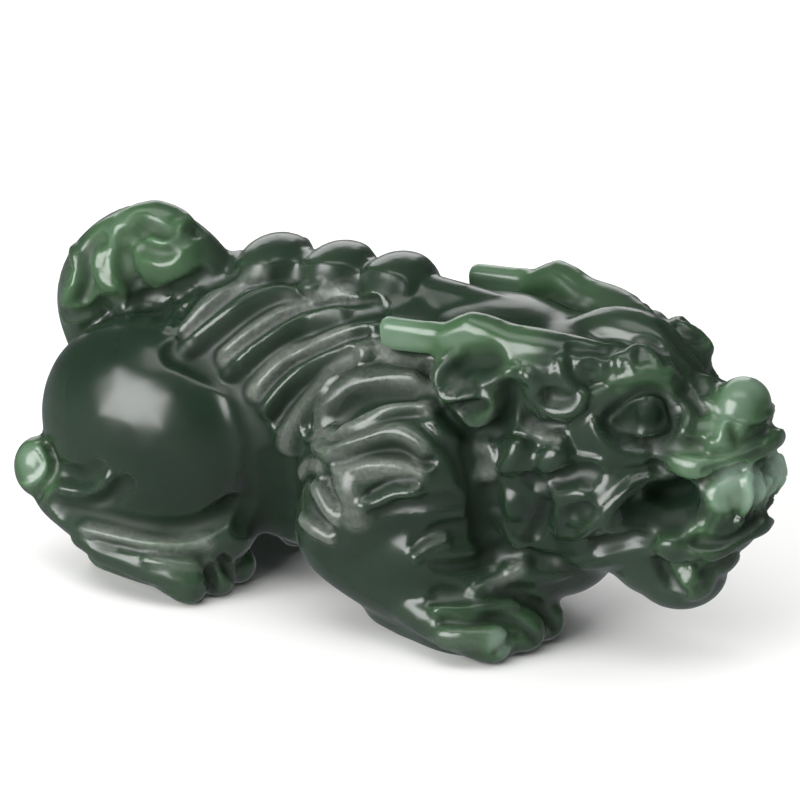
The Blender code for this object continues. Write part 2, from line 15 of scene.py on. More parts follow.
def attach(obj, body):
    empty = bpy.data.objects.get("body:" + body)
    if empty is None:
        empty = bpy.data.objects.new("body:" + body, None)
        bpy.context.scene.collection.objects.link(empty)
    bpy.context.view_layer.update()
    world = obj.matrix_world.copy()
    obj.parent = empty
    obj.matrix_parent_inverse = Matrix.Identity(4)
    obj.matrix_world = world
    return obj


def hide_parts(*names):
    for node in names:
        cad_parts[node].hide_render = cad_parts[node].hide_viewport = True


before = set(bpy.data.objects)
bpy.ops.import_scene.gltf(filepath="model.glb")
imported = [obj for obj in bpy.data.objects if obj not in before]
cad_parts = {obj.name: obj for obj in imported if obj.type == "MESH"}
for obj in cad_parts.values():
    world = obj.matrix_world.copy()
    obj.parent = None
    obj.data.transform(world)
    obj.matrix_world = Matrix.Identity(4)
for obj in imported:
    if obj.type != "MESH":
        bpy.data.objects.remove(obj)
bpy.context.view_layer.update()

MM = 0.001

# Skin drawn over the clay, its grain and rounds of smoothing: body first, then all that stands on it
BODY_VOXEL = 0.9
BODY_SMOOTH = 6
FORM_VOXEL = 0.485
FORM_SMOOTH = 3
NORMAL_BLUR = 9
LAST_SMOOTH = 2

# Ropes: angles of the rings that round an end off, and a ring's least radius as a part of the rope's
CAP_ANGLES = (0.5, 1.0, 1.35, 1.57)
CAP_TIP = 0.03

# Signs of (x, y, z, radius) in a mirror image across the spine
ACROSS = (1, -1, 1, 1)

# Closeness of a point that no stroke reaches, and the least squared length to divide by
OUT_OF_REACH = 9.0
TINY = 1e-9

# Body
TRUNK_HALF_WIDTH = 14.5
HAUNCH = (-33.8, -9.5, 20.7)
HAUNCH_RADII = (16.3, 11, 15)
SHOULDER = (6, -9, 23)
SHOULDER_RADII = (13, 10.5, 13)
FAR_PAW_BACK = 9
SPINE_KNOBS = ((-20.7, 42.5, 3.6), (-11.2, 43, 3.7), (-2.6, 43.2, 3.5))

# Feet
HIND_TOE = 2.7
FRONT_TOE = 3
SOLE_HEIGHT = 2.1

# Head
EYE = (36.6, -6.3, 34.2)
NOSE = (47, 0, 35.4)
HORN_ROD = 1.5
BEARD = (42.2, -3.5, 12.2)

# Forelegs: side of the body, and how far the paw is set back
NEAR, FAR = -1, 1
LEGS = ((NEAR, 0), (FAR, FAR_PAW_BACK))


def through(points, steps=6):
    """Smooth rows of (x, y, z, radius) through the given ones, as a Catmull-Rom curve."""
    p = np.array(points, float)
    p = np.vstack([2 * p[0] - p[1], p, 2 * p[-1] - p[-2]])
    t = np.linspace(0, 1, steps, endpoint=False)[:, None]
    spans = [0.5 * (2 * b + (c - a) * t + (2 * a - 5 * b + 4 * c - d) * t ** 2
                    + (3 * b - a - 3 * c + d) * t ** 3)
             for a, b, c, d in zip(p, p[1:], p[2:], p[3:])]
    return np.vstack(spans + [p[-2:-1]])


def rounded(path):
    """The path with a half-round cap at each end."""
    caps = []
    for end, inner in ((path[0], path[1]), (path[-1], path[-2])):
        outward = (end[:3] - inner[:3]) / np.linalg.norm(end[:3] - inner[:3])
        caps.append([np.append(end[:3] + outward * end[3] * math.sin(a), end[3] * max(math.cos(a), CAP_TIP))
                     for a in CAP_ANGLES])
    return np.vstack([caps[0][::-1], path, caps[1]])


def with_radius(points, radius):
    """Rows of (x, y, z, radius); the rows that lack a radius get the given one."""
    return [(*p, radius) if len(p) == 3 else p for p in points]


def evaluated(data, kind=None, **settings):
    """Mesh of the data, after one modifier if a kind is given."""
    obj = bpy.data.objects.new('work', data)
    bpy.context.scene.collection.objects.link(obj)
    if kind:
        modifier = obj.modifiers.new(kind, kind)
        for name, value in settings.items():
            setattr(modifier, name, value)
    bpy.context.view_layer.update()
    mesh = bpy.data.meshes.new_from_object(obj.evaluated_get(bpy.context.evaluated_depsgraph_get()))
    bpy.data.objects.remove(obj)
    return mesh


def softened(mesh, rounds):
    """The mesh with its surface evened out."""
    return evaluated(mesh, 'SMOOTH', iterations=rounds, factor=0.5)


def skin(mesh, voxel, smooth):
    """One closed, softened skin around everything in the mesh."""
    return softened(evaluated(mesh, 'REMESH', mode='VOXEL', voxel_size=voxel), smooth)


def add_values(mesh, name, values):
    """Stores one number at each vertex, for the material to read."""
    mesh.attributes.new(name, 'FLOAT', 'POINT').data.foreach_set('value', values.astype(np.float32))


def vectors(items, attribute):
    """A vector attribute of all the items, one row for each."""
    flat = np.empty(len(items) * 3, np.float32)
    items.foreach_get(attribute, flat)
    return flat.reshape(-1, 3).astype(float)


def blurred(mesh, values, rounds):
    """Values at the vertices, evened out along the mesh's edges."""
    ends = np.empty(len(mesh.edges) * 2, np.int32)
    mesh.edges.foreach_get('vertices', ends)
    here = ends.reshape(-1, 2).ravel()
    there = ends.reshape(-1, 2)[:, ::-1].ravel()
    count = np.bincount(here, minlength=len(values))
    flat = values.reshape(len(values), -1)
    for _ in range(rounds):
        mean = [np.bincount(here, column[there], len(values)) / count for column in flat.T]
        flat = (flat + np.stack(mean, 1)) / 2
    return flat.reshape(values.shape)


class Clay:
    """Balls and ropes that a skin is drawn over."""

    def __init__(self, base=None):
        self.bm = bmesh.new()
        self.paths = []
        if base:
            self.bm.from_mesh(base)

    def ball(self, centre, radii, turn=(0, 0, 0), both=True):
        radii = radii if hasattr(radii, '__len__') else (radii,) * 3
        place = Matrix.LocRotScale(Vector(centre), Euler([math.radians(a) for a in turn]), Vector(radii))
        flip = Matrix.Diagonal(ACROSS)
        for matrix in [place] + [flip @ place @ flip] * (both and centre[1] != 0):
            bmesh.ops.create_icosphere(self.bm, subdivisions=3, radius=1, matrix=matrix)

    def rope(self, *points, radius=None, both=True, blunt=False):
        """A tube along the points, each with its radius as a fourth number unless one is given for all."""
        path = through(with_radius(points, radius))
        path = path if blunt else rounded(path)
        self.paths.append(path)
        if both and np.abs(path[:, 1]).max() > 0:
            self.paths.append(path * ACROSS)

    def mesh(self):
        """The balls, the ropes and the base as loose overlapping shells."""
        curve = bpy.data.curves.new('ropes', 'CURVE')
        curve.dimensions = '3D'
        curve.bevel_depth = 1
        curve.use_fill_caps = True
        for path in self.paths:
            spline = curve.splines.new('POLY')
            spline.points.add(len(path) - 1)
            spline.points.foreach_set('co', np.column_stack([path[:, :3], np.ones(len(path))]).ravel())
            spline.points.foreach_set('radius', path[:, 3])
        self.bm.from_mesh(evaluated(curve))
        mesh = bpy.data.meshes.new('clay')
        self.bm.to_mesh(mesh)
        self.bm.free()
        return mesh


class Stone:
    """A skinned mesh that ridges are left standing on and grooves are ground into.

    A stroke's first two numbers are its height, depth or amount, and how far it reaches to each side. Its
    points are drawn onto the nearest surface first, and overlapping strokes don't add up, except pale ones.
    """

    def __init__(self, mesh):
        self.mesh = mesh
        self.co = vectors(mesh.vertices, 'co')
        self.normal = blurred(mesh, vectors(mesh.vertex_normals, 'vector'), NORMAL_BLUR)
        faces = [tuple(p.vertices) for p in mesh.polygons]
        self.tree = BVHTree.FromPolygons([tuple(v) for v in self.co], faces)
        self.rise = np.zeros(len(self.co))
        self.sink = np.zeros(len(self.co))
        self.tint_and_painted_light = np.zeros(len(self.co))
        self.frost_and_sheen_amounts = np.zeros(len(self.co))

    def profile(self, radius, points, both):
        """Vertices near the path, with 1 on the path falling smoothly to 0 at its radius."""
        path = through(with_radius(points, radius))
        for row in path:
            row[:3] = self.tree.find_nearest(Vector(row[:3]))[0]
        for p in [path, path * ACROSS][:1 + both]:
            low = (p[:, :3] - p[:, 3:]).min(0)
            high = (p[:, :3] + p[:, 3:]).max(0)
            near = np.flatnonzero(((self.co >= low) & (self.co <= high)).all(1))
            yield near, np.clip(1 - closeness(self.co[near], p) ** 3, 0, 1) ** 2

    def ridge(self, height, radius, *points, both=True):
        for near, shape in self.profile(radius, points, both):
            self.rise[near] = np.maximum(self.rise[near], height * shape)

    def groove(self, depth, radius, *points, both=True):
        for near, shape in self.profile(radius, points, both):
            self.sink[near] = np.maximum(self.sink[near], depth * shape)

    def pale(self, amount, radius, *points, both=True):
        """Lightens the stone, or darkens it where the amount is below zero: paler stone, painted highlights
        and painted shade.
        """
        for near, shape in self.profile(radius, points, both):
            self.tint_and_painted_light[near] += amount * shape

    def frost_and_sheen(self, amount, radius, *points, both=True):
        """Leaves the stone as the wheel ground it, without polish, and paints it speckled pale grey, partly
        the ground stone's own colour and partly a painted highlight for the sheen of light on it.
        """
        for near, shape in self.profile(radius, points, both):
            self.frost_and_sheen_amounts[near] = np.maximum(self.frost_and_sheen_amounts[near], amount * shape)

    def carved(self):
        """The mesh with all the strokes in it."""
        moved = self.co + self.normal * (self.rise - self.sink)[:, None]
        self.mesh.vertices.foreach_set('co', moved.astype(np.float32).ravel())
        add_values(self.mesh, 'sunk', self.sink)
        add_values(self.mesh, 'tint_and_painted_light', self.tint_and_painted_light)
        add_values(self.mesh, 'frost_and_sheen', self.frost_and_sheen_amounts)
        self.mesh.update()
        return self.mesh


def closeness(co, path):
    """Distance from the path over its radius there, for each point."""
    best = np.full(len(co), OUT_OF_REACH)
    for a, b in zip(path, path[1:]):
        along = b[:3] - a[:3]
        t = np.clip((co - a[:3]) @ along / max(along @ along, TINY), 0, 1)
        away = np.linalg.norm(co - a[:3] - t[:, None] * along, axis=1)
        best = np.minimum(best, away / (a[3] + t * (b[3] - a[3])))
    return best


# Masses: the body without its details

def trunk(clay):
    clay.ball((-20, 0, 24.5), (21, TRUNK_HALF_WIDTH, 18.5))
    clay.ball((-2, 0, 25), (19, TRUNK_HALF_WIDTH, 19))
    clay.ball((12, 0, 26), (14, 12.5, 16.5))
    clay.ball((-13, 0, 13.6), (17, 10.5, 8.8))
    clay.ball((14, 0, 18), (16, 12, 11))
    clay.ball((20, 0, 12), (9, 8, 7.5))
    clay.ball((16, -5, 9), (8, 6, 7))


def hindquarters(clay):
    clay.ball(HAUNCH, HAUNCH_RADII)
    clay.ball((-36, 0, 26), (13, 10, 11))
    clay.ball((-27, -11, 9), (9, 6, 6.5))
    clay.rope((-44.5, -14.5, 11.2, 4.6), (-37, -15.5, 8.4, 4.8), (-30, -16, 6.6, 4.6), (-26, -15.5, 5.4, 4))
    clay.rope((-41, -10.5, SOLE_HEIGHT, 3), (-34, -11.5, SOLE_HEIGHT, 3.4), (-27, -12.5, SOLE_HEIGHT, 3.2))


def forequarters(clay):
    clay.ball(SHOULDER, SHOULDER_RADII)
    for side, back in LEGS:
        clay.rope((4 - back / 3, 11 * side, 24, 9.5), (0.6 - back / 3, 12.9 * side, 18.6, 8.6),
                  (-3.4 - back / 2, 13 * side, 13.2, 6.5), (2.2 - back, 12 * side, 9.8, 6.8),
                  (9.4 - back, 12.2 * side, 7.2, 5.9), (15 - back, 11.8 * side, 6, 4.8), both=False)
        clay.ball((7 - back, 11.4 * side, 13), (9.5, 8, 8), both=False)
        clay.rope((2 - back, 11.5 * side, 3.4, 3), (6 - back, 11 * side, SOLE_HEIGHT, 3),
                  (13 - back, 12.3 * side, SOLE_HEIGHT, 3.5), (18.5 - back, 11 * side, SOLE_HEIGHT, 3.2),
                  both=False)


def neck_and_skull(clay):
    clay.ball((20, 0, 26), (13, 12.5, 15))
    clay.ball((26, 0, 18.5), (13, 9, 9))
    clay.ball((13, 0, 37.6), (12, 9.5, 6))
    clay.ball((30, 0, 31), (12, 10.8, 10.8))
    clay.ball((24, 0, 35), (11, 12.2, 7.5))
    clay.ball((30, 0, 23), (12, 11.8, 9))
    clay.ball((35, -3.5, 33), (6.5, 5, 6.5))
    clay.ball((41, 0, 31), (9, 8, 5.5))
    clay.ball((41.5, 0, 25), (8.8, 7.8, 7))
    clay.ball((40, 0, 19.5), (9.5, 8, 6))
    clay.ball((36, 0, 14), (7.5, 7.2, 6.5))


# Forms: what stands on the body

def spine(clay):
    for x, z, radius in SPINE_KNOBS:
        clay.ball((x, 0, z - 0.6), (5, 6.5, radius + 0.6))
    clay.rope((-28, 0, 38.5), (-20, 0, 40.4), (-10, 0, 41.2), (3, 0, 40.5), (14, 0, 39.5), radius=4)


def tail(clay):
    clay.rope((-27, -2, 39, 2.5), (-32, -3, 42, 4.2), (-38.5, -3, 43.3, 4.8), (-45, -3, 39.5, 4.6),
              (-48, -3, 33, 4.2), (-47.5, -2, 25, 3), both=False)
    clay.ball((-39.5, -2.5, 37.5), (6.5, 4, 7), both=False)
    clay.ball((-34.2, -4.8, 42.2), (5.6, 4, 5), both=False)
    clay.ball((-46.6, -4.5, 35.5), (3.6, 4, 6.6), (0, 25, 0), both=False)
    clay.ball((-41, -5.2, 38.6), (3.8, 3.8, 5.6), (0, -15, 0), both=False)


def hind_feet(clay):
    clay.ball((-48, -15.5, 14), (3.4, 3.2, 4.2))
    for heel, arch, tip in (((-36, -17, 6), (-29, -17.4, 4.6), (-24.5, -16.8, 2.6)),
                            ((-33, -14.5, 7.5), (-27, -13.8, 5.3), (-22.8, -12.4, 2.6)),
                            ((-30, -10.5, 7.5), (-26, -9, 5.2), (-22.8, -7.5, 2.6))):
        clay.rope(heel, arch, tip, radius=HIND_TOE)


def front_feet(clay):
    for side, back in LEGS:
        for toe in (((4, 14, 7.5), (10, 15.8, 5.6), (15, 16.2, 4.4), (19, 14.6, 2.8)),
                    ((9, 13.5, 8.5), (16, 12, 6.4), (21, 9.4, 3)),
                    ((12, 9.5, 9), (17, 7.4, 6.6), (21.4, 5, 3))):
            clay.rope(*((x - back, y * side, z) for x, y, z in toe), radius=FRONT_TOE, both=False)


def brow_and_horns(clay):
    clay.rope((24, 0, 40, 3), (29, 0, 41.6, 3.6), (34, 0, 41, 3.6), (37.5, 0, 38, 3.2), (40.5, 0, 34.5, 3.2))
    clay.rope((29, -6.5, 40, 2.6), (34, -5.5, 39.8, 2.8), (37.4, -4.2, 38.6, 2.6), (38.6, -3.2, 35.5, 2))
    for drop in (0, 1.4):
        clay.rope((1.6 + drop / 4, -11.4, 41.2 - drop), (6, -11.6, 41.5 - drop), (12, -11.6, 42 - drop),
                  radius=HORN_ROD, blunt=True)
    clay.rope((11, -11.4, 41.4, 2), (14.8, -11, 43, 2.3), (19, -10, 41.6, 2.7), (24, -9, 41.2, 2.8),
              (29.5, -7, 40.4, 2.6))
    clay.ball((21, -9.8, 39), (8, 3.6, 3.6))
    clay.ball((14.5, -11.2, 43.4), 2)


def ears(clay):
    clay.ball((16.6, -11.4, 36.3), (7.8, 2.9, 7.2))
    clay.ball((27.3, -10.4, 36.4), (3, 1.8, 2.8))


def eyes(clay):
    clay.ball(EYE, (5, 3, 4.6), turn=(0, 0, 20))


def muzzle(clay):
    clay.ball(NOSE, (3.6, 4, 3.6))
    clay.ball((42.5, 0, 33.8), (5.5, 4.8, 3.8))
    clay.ball((47, -3.6, 32.8), (2.6, 2.2, 2.2))
    clay.ball((43.6, -6.8, 29), (3.4, 2, 2))
    clay.rope((42, -6.8, 29, 1.9), (46.8, -5.6, 30, 1.8), (49.8, -3.2, 31, 1.7), (50.8, 0, 31.5, 1.7))


def jaw(clay):
    clay.rope((41, -7, 17.6, 1.6), (45.5, -5.6, 17.6, 1.8), (48.6, -3, 19.8, 1.7), (49.6, 0, 20, 1.7))
    clay.ball((47, 0, 20.5), (4, 5, 3.2))
    clay.rope((46.2, -4.6, 25.5, 2.8), (48.4, -2.6, 25.5, 2.8), (48.8, 0, 25.5, 2.8))
    clay.rope((49.4, -3, 23, 1), (49.8, -3.2, 27.5, 1.2))
    clay.ball((38.5, 0, 11.5), (6.2, 6, 5))
    clay.ball((43.4, 0, 15.6), (3.4, 4.6, 4))
    clay.ball(BEARD, 2.9, both=False)


def cheeks(clay):
    clay.ball((21.5, -11.2, 27.7), (3.2, 2.4, 3.4))
    clay.ball((26.3, -10.7, 28), (2.8, 1.8, 2.5))
    clay.ball((20, -10.8, 21), (2.8, 1.9, 2.8))
    clay.ball((31, -9.2, 22.3), (4, 2.6, 3.6))


# Carving: relief on the surface, along points (x, y, z)

def carve_spine(stone):
    stone.groove(0.7, 2.0, (-31.5, -6.5, 38), (-27, -5.5, 40), (-22, -6, 42), (-17, -4.5, 42.5),
                 (-10.5, -5.5, 44), (-5, -5, 44.5), (-0.5, -5, 44))


def carve_ribs(stone):
    stone.ridge(0.7, 1.4, (-30.5, -11, 35), (-31, -7.5, 36.5), (-29, -6.5, 38.5))
    stone.ridge(0.7, 2.0, (-28, -10, 35.5), (-25.5, -7.5, 39), (-23, -6, 41), (-19.5, -6, 43))
    stone.frost_and_sheen(0.21, 1.9, (-27.5, -10.5, 35), (-25.5, -8, 39), (-22.5, -6.5, 41), (-19.5, -6, 43))
    stone.groove(0.9, 1.0, (-28, -11.5, 34.5), (-25, -9, 38), (-22, -6.5, 40.5), (-17.5, -5, 42),
                 (-11, -6, 43.5))
    stone.ridge(1.3, 1.7, (-27, -12.5, 33.5), (-25, -11, 35), (-22, -9.5, 38), (-20, -7.5, 40),
                (-17, -6, 41), (-12.5, -6, 42))
    stone.groove(0.9, 1.9, (-24.5, -12.5, 33.5), (-20.5, -10.5, 37), (-17, -8, 39.5), (-14, -6, 40.5),
                 (-9.5, -6, 42.5))
    crest = ((-21.5, -12.5, 33), (-19.5, -11.5, 35.5), (-17.5, -10, 37.5), (-14.5, -7.5, 39.5),
             (-11, -6, 41), (-7.5, -4.5, 42))
    stone.ridge(0.8, 1.9, *crest)
    stone.frost_and_sheen(0.37, 1.6, *crest)
    stone.groove(1.0, 0.9, (-21, -13, 32), (-18.5, -11.5, 35), (-15.5, -9.5, 38), (-12.5, -6.5, 39.5),
                 (-7.5, -6, 41), (-2.5, -6.5, 42.5))
    stone.ridge(1.3, 1.7, (-20.5, -13, 31.5), (-18.5, -12.5, 33.5), (-15.5, -11, 36), (-13.5, -9, 37.5),
                (-11.5, -7.5, 38.5), (-7, -7.5, 40))
    stone.groove(0.9, 2.0, (-18, -13.5, 30.5), (-15, -11.5, 34.5), (-11.5, -9, 36.5), (-7, -8.5, 39.5),
                 (-2, -7.5, 41))
    stone.ridge(0.9, 2.0, (-16.5, -13.5, 29.5), (-14.5, -12.5, 32.5), (-12.5, -10.5, 34.5), (-9, -10, 36.5),
                (-5.5, -9.5, 38.5), (-1.5, -8.5, 40))
    stone.frost_and_sheen(0.37, 1.7, (-16.5, -13.5, 29.5), (-14.5, -12.5, 32.5), (-12.5, -10.5, 34.5),
                (-9, -10, 36.5), (-5, -9.5, 38.5))
    stone.groove(1.0, 0.9, (-15.5, -13.5, 28.5), (-13.5, -12.5, 31.5), (-11, -11, 34), (-5.5, -10.5, 37),
                 (-2, -9.5, 39))
    stone.ridge(1.3, 1.8, (-14.5, -13.5, 27.5), (-13, -13, 30), (-10.5, -11.5, 32.5), (-7, -11.5, 35),
                (-3.5, -11, 37))
    stone.groove(1.0, 1.8, (-13, -13.5, 27), (-10, -12.5, 31), (-6.5, -12, 34), (-3, -11.5, 36))


def carve_wings(stone):
    stone.ridge(1.1, 1.9, (-12, -13, 22.5), (-11, -13, 25.5), (-9.5, -13, 28.5), (-7, -12.5, 32),
                (-4, -12, 35), (-1.5, -11, 37))
    stone.frost_and_sheen(0.24, 1.7, (-12, -13, 22.5), (-11, -13, 25.5), (-9.5, -13, 28.5), (-7, -12.5, 32),
                (-4, -12, 35), (-1, -10.5, 37.5))
    stone.frost_and_sheen(0.32, 1.4, (0.5, -10.5, 37.5), (3.5, -10.5, 36.5), (7, -9.5, 36.5))
    stone.ridge(1.2, 1.1, (-7, -14, 25), (-8.5, -13.5, 25.5), (-9, -13, 27.5), (-8, -13, 29.5),
                (-5.5, -13, 32))
    crest = ((-5.5, -14, 27), (-5.5, -13.5, 29.5), (-4, -13.5, 31.5), (-1.5, -13, 33.5),
             (2, -12.5, 34.5), (5.5, -12.5, 35), (9, -12, 35))
    stone.ridge(1.1, 2.3, *crest)
    stone.frost_and_sheen(0.14, 2.1, *crest)
    stone.groove(1.6, 2.2, (-2, -15.5, 29), (-1, -15, 31), (2, -15, 33), (5.5, -14.5, 34), (8.5, -13.5, 34))
    stone.ridge(0.8, 1.5, (-6, -14, 25.5), (-0.5, -17.5, 28.5), (3, -17, 30.5), (5.5, -16, 32.5),
                (8, -15, 33), (10, -14.5, 33))
    stone.frost_and_sheen(0.32, 1.3, (-6, -14.5, 26), (-0.5, -17.5, 28.5), (3, -17, 31), (5.5, -16, 32.5),
                (8, -15, 33), (10, -14.5, 33))
    stone.groove(0.8, 1.0, (-2.5, -17.5, 26.5), (2.5, -18.5, 29), (6, -17, 31), (8.5, -16, 32),
                 (11, -15, 32))
    crest = ((-5, -15.5, 25), (-1, -19, 26), (2, -19, 28), (5, -18, 29.5), (7.5, -17.5, 30),
             (9.5, -17.5, 29.5), (11, -17.5, 28.5))
    stone.frost_and_sheen(0.23, 1.5, *crest)
    stone.ridge(1.5, 2.0, *crest)
    stone.groove(1.1, 1.6, (0.5, -19.5, 25.5), (4.5, -19.5, 27.5), (8, -18.5, 28), (11.5, -18, 27))
    stone.ridge(1.0, 1.6, (9, -13.5, 34), (10.5, -15, 32.5), (12.5, -15, 31), (14, -15, 30))
    stone.groove(0.9, 1.3, (11, -13.5, 33.5), (13, -14, 32), (14.5, -14.5, 30))


def carve_forelegs(stone):
    stone.ridge(0.8, 1.7, (0, -20, 24.5), (4.5, -20, 26), (8.5, -19, 26), (11.5, -18, 25.5))
    stone.frost_and_sheen(0.37, 2.1, (1, -20, 24.5), (6, -20, 25.5), (10, -18.5, 25.5))
    stone.ridge(0.7, 2.6, (1.5, -20.5, 23), (2, -21, 21), (3, -21, 19))
    stone.frost_and_sheen(0.24, 2.7, (1.5, -20.5, 23), (2, -21, 21), (3, -21, 18.5))
    stone.groove(1.0, 1.1, (5, -20.5, 22), (7, -19.5, 23.5), (10, -18.5, 24.5))
    stone.ridge(1.3, 1.3, (4, -20.5, 20.5), (6.5, -20, 21.5), (8, -19.5, 22.5), (10.5, -18.5, 23))
    stone.groove(0.6, 1.8, (6, -20, 20), (8.5, -19, 21), (12.5, -18, 21.5), (16.5, -15, 22))
    crest = ((-9.5, -12.5, 19.5), (-7.5, -14, 21.5), (-3, -18.5, 23.5))
    stone.ridge(0.7, 1.4, *crest)
    stone.frost_and_sheen(0.32, 1.3, *crest)
    crest = ((-3.5, -19.5, 21), (-1.5, -20.5, 19.5), (0.5, -21, 18))
    stone.ridge(0.7, 1.5, *crest)
    stone.frost_and_sheen(0.29, 1.3, *crest)
    stone.groove(1.0, 1.1, (-2, -20, 23), (-1, -20.5, 21.5), (1, -21, 20))
    stone.groove(1.0, 1.2, (-6, -17, 20), (-5.5, -18.5, 19), (-3.5, -20, 17.5), (-1, -20.5, 16.5))
    crest = ((-5.5, -19, 16), (-3.5, -20, 15.5), (-1, -20, 15))
    stone.ridge(0.7, 1.4, *crest)
    stone.frost_and_sheen(0.32, 1.3, *crest)
    stone.groove(0.5, 1.8, (11, -18, 15.5), (13.5, -16.5, 17.5), (16.5, -13, 18))
    stone.ridge(1.0, 1.2, (10.5, -18.5, 14), (12, -17.5, 15.5), (13.5, -16.5, 16))
    stone.ridge(0.5, 1.6, (13, -17, 14), (15.5, -14, 14), (17.5, -11, 14.5))
    stone.groove(0.6, 1.6, (13, -17, 13), (15.5, -14, 12.5), (17.5, -10.5, 12.5))
    stone.ridge(0.9, 1.3, (17, -14.5, 9), (18, -11.5, 9.5), (20, -10, 10.5), (21, -9, 12))
    stone.frost_and_sheen(0.24, 1.3, (18, -12.5, 9.5), (19, -10.5, 10), (20.5, -9.5, 11.5))
    stone.groove(0.6, 1.8, (13, -17, 8.5), (16.5, -15, 8.5), (19, -12, 8.5), (21, -9.5, 8.5))
    stone.ridge(0.9, 1.2, (13.5, -18, 7), (16.5, -16, 7.5), (18.5, -14, 7.5), (20.5, -11, 7))
    stone.groove(0.9, 0.9, (14.5, -18.5, 6), (18, -17, 6), (19.5, -14, 6), (21.5, -12, 5),
                 (23.5, -10.5, 2.5))
    stone.groove(1.0, 1.0, (20.5, -10, 7.5), (22, -8.5, 6.5), (23, -7, 5), (24, -6, 2.5))
    stone.ridge(0.9, 2.2, (15, -19, 4), (18.5, -18, 4.5), (21, -16, 4))
    stone.frost_and_sheen(0.1, 2.1, (15.5, -19, 4), (18.5, -18, 4.5), (21, -16, 4.5))
    stone.groove(0.7, 0.8, (21, -16.5, 2.5), (21.5, -15, 3.5), (22, -12.5, 3.5))


def carve_mane(stone):
    stone.groove(1.4, 3.0, (16, -14, 28), (17, -14, 24.5), (17, -12.5, 18.5), (17.5, -11, 14.5))
    stone.groove(0.9, 1.8, (14, -15.5, 29), (15.5, -15.5, 26.5), (16.5, -15, 23))
    stone.ridge(0.9, 1.3, (17.5, -12.5, 28.5), (18, -12.5, 26.5), (17.5, -13.5, 24))
    stone.ridge(0.8, 1.3, (18.5, -11.5, 18.5), (19.5, -11, 16), (21, -10, 15))
    stone.groove(0.8, 1.6, (18, -10.5, 13), (20.5, -9.5, 13.5), (23, -8, 12.5), (26.5, -6, 11.5))


def carve_hind_legs(stone):
    stone.groove(1.3, 2.0, (-42, -19.5, 10.5), (-36, -19.5, 10.5), (-30.5, -19, 10), (-26, -17.5, 10),
                 (-22.5, -15.5, 11), (-20, -13, 13))
    stone.ridge(0.7, 1.3, (-38.5, -20, 9), (-33.5, -20, 9), (-28.5, -19.5, 9), (-24.5, -17.5, 8.5),
                (-22, -16, 9))
    stone.frost_and_sheen(0.32, 1.7, (-37.5, -20, 8.5), (-33, -20, 9), (-28.5, -19.5, 8.5), (-24.5, -17.5, 8.5),
                (-22, -16, 8.5))
    stone.groove(0.7, 0.9, (-36.5, -20, 7.5), (-32, -20.5, 7.5), (-27.5, -20, 7.5), (-22.5, -17, 7))
    stone.ridge(0.6, 1.3, (-28.5, -20, 6.5), (-24.5, -19, 6), (-22, -16, 5.5))
    stone.frost_and_sheen(0.16, 1.3, (-27, -20, 6), (-24, -18.5, 6), (-22, -16, 5.5))
    stone.ridge(0.8, 2.0, (-39.5, -19, 6.5), (-36.5, -19.5, 5.5), (-33, -20, 5), (-29, -20, 4.5),
                (-25, -19.5, 4.5), (-23, -18, 4))
    stone.groove(1.0, 1.0, (-22.5, -16.5, 6.5), (-22, -15, 4), (-22, -14.5, 1.5))
    stone.groove(1.0, 1.0, (-21, -14, 6), (-20.5, -12.5, 3.5), (-20.5, -11.5, 2))
    stone.ridge(0.9, 1.4, (-42.5, -18.5, 13), (-39.5, -18.5, 13), (-36.5, -19, 14), (-34.5, -20, 16.5))
    stone.groove(0.8, 1.8, (-43, -19, 11), (-38.5, -19, 11.5), (-35, -19, 13.5), (-32, -20, 16))
    stone.groove(0.6, 1.8, (-42.5, -18, 15), (-38.5, -19, 16), (-36, -20, 17.5))
    stone.groove(0.8, 1.0, (-45.5, -16.5, 17.5), (-44.5, -17, 15.5), (-45, -18, 13.5), (-46.5, -18, 11))
    stone.ridge(0.7, 0.8, (-47, -17, 17.5), (-45.5, -17, 15.5), (-46, -18, 13.5), (-48.5, -18.5, 12.5))


def carve_haunches(stone):
    stone.groove(1.1, 2.8, (-27.5, -13.5, 33), (-23, -13, 32), (-18.5, -13.5, 30), (-16.5, -14, 26.5),
                 (-15.5, -14, 22), (-17, -12.5, 15.5), (-18.5, -12, 11))
    stone.groove(1.6, 4.5, (-14, -13, 20), (-14.5, -12, 15.5), (-15.5, -9.5, 10))


def carve_tail(stone):
    stone.ridge(0.8, 2.0, (-40, -7.5, 44.5), (-40.5, -6.5, 46), (-39, -4.5, 47.5), (-36.5, -3, 48),
                (-33.5, -3, 47), (-31.5, -5, 46.5), (-32, -7, 45.5), both=False)
    stone.groove(1.5, 1.6, (-37.5, -7, 45.5), (-36.5, -6.5, 46.5), (-35, -6.5, 46.5), (-33, -7, 46.5),
                 both=False)
    stone.groove(1.0, 1.4, (-36.5, -8, 44), (-33, -8.5, 44), (-31.5, -7, 45.5), (-31, -4, 46), both=False)
    stone.groove(1.2, 1.8, (-39, -7.5, 44.5), (-39.5, -7.5, 42.5), (-39, -8, 40.5), (-38, -7.5, 38.5),
                 both=False)
    stone.ridge(0.6, 1.4, (-43.5, -7.5, 42.5), (-43.5, -8, 40), (-41.5, -9, 38.5), (-39.5, -8.5, 37.5),
                both=False)
    stone.groove(1.1, 1.6, (-43.5, -7, 43.5), (-45, -7, 42), (-45, -7.5, 39.5), (-45, -8, 37.5),
                 (-45.5, -8.5, 35.5), both=False)
    stone.ridge(0.8, 1.3, (-48, -6, 41), (-46.5, -7.5, 39.5), (-46.5, -8, 37), (-48, -8, 35), both=False)
    stone.groove(0.7, 1.4, (-48.5, -7.5, 32.5), (-46, -8, 33), (-44, -6.5, 34.5), (-39.5, -8.5, 37),
                 both=False)
    stone.groove(0.9, 1.4, (-38, -7.5, 36.5), (-36, -6, 37), (-31.5, -7, 39.5), (-28.5, -5.5, 41),
                 both=False)


